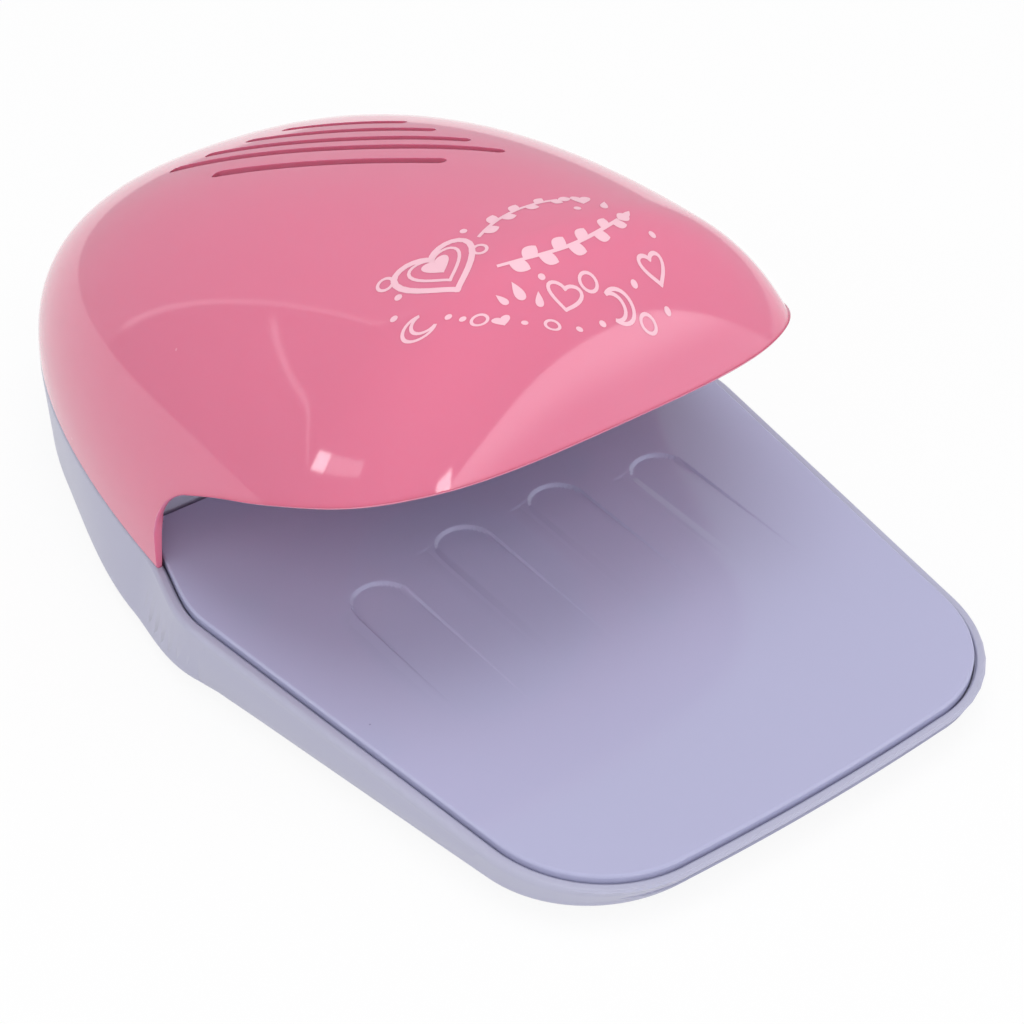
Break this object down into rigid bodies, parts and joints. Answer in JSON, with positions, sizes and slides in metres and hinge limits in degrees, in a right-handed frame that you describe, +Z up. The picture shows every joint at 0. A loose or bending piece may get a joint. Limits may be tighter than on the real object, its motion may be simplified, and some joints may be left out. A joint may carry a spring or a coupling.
{
  "type": "nail polish fan dryer",
  "caption": "Nail polish fan dryer: domed glossy hood over a low sloped base, with a wide press plate with finger grooves that switches on a fan under the hood",
  "frame": {"origin": "middle of the footprint, on the plane that the feet rest on", "axes": "+Z up, -Y towards the user's hand (the press plate's free end), +Y towards the back of the hood, +X to the right as seen from the user's side"},
  "size_m": [0.1002, 0.1648, 0.0632],
  "materials": {
    "hood_gloss": "high-gloss pink plastic",
    "shell_matte": "fine matte lilac plastic",
    "plate_gloss": "semi-gloss lilac plastic",
    "grille_plastic": "matte lilac plastic",
    "inner_white": "unpainted white plastic",
    "fan_white": "smooth white plastic",
    "foot_rubber": "soft pale rubber",
    "bright_steel": "drawn steel",
    "screw_steel": "zinc-plated steel",
    "motor_steel": "plated motor can",
    "nickel": "nickel-plated spring steel",
    "brass_tab": "plain brass",
    "cap_blue": "dull moulded plastic",
    "switch_black": "dull moulded plastic",
    "switch_cream": "smooth moulded plastic",
    "board": "lacquered board",
    "cell_metal": "plain sleeve over a steel can",
    "lead_red": "insulated lead",
    "lead_black": "insulated lead",
    "lead_blue": "insulated lead"
  },
  "bodies": {
    "shell": {"base": "shell_matte", "battery_door": "shell_matte", "door_screw": "screw_steel", "feet": "foot_rubber", "plate_pins": "bright_steel", "plate_spring_left": "bright_steel", "plate_spring_right": "bright_steel", "switch_board": "board", "switch_body": "switch_black", "hood": "hood_gloss", "inner_cover": "shell_matte", "outlet_grille": "grille_plastic", "fan_duct": "inner_white", "motor_bracket": "inner_white", "motor_can": "motor_steel", "motor_end_cap": "cap_blue", "motor_terminals": "brass_tab", "motor_bush": "brass_tab", "cell_front": "cell_metal", "cell_back": "cell_metal", "contact_bridge": "nickel", "contact_tabs": "nickel", "contact_springs": "nickel", "hood_screws": "screw_steel", "cover_screws": "screw_steel", "duct_screws": "screw_steel", "motor_screws": "screw_steel", "lead_positive": "lead_red", "lead_negative": "lead_black", "lead_switch": "lead_blue"},
    "plate": {"press_plate": "plate_gloss"},
    "plunger": {"switch_plunger": "switch_cream"},
    "fan": {"impeller": "fan_white", "motor_shaft": "bright_steel"}
  },
  "joints": [
    {"name": "plate_press", "type": "hinge", "parent": "shell", "child": "plate", "pos_m": [0, 0.0107, 0.0074], "axis": [1, 0, 0], "range_deg": [0, 0.8], "stiffness_Nm_per_rad": 12, "springref_deg": -1.72, "deforming": ["plate_spring_left", "plate_spring_right"]},
    {"name": "switch_press", "type": "slide", "parent": "shell", "child": "plunger", "axis": [0, 0, -1], "range_m": [0, 0.0006]},
    {"name": "fan_spin", "type": "hinge", "parent": "shell", "child": "fan", "pos_m": [0, -0.009, 0.03575], "axis": [0, 0.253, 0.9675], "continuous": true}
  ],
  "couplings": [
    {"joint": "switch_press", "follows": "plate_press", "m_per_rad": 0.0394}
  ]
}
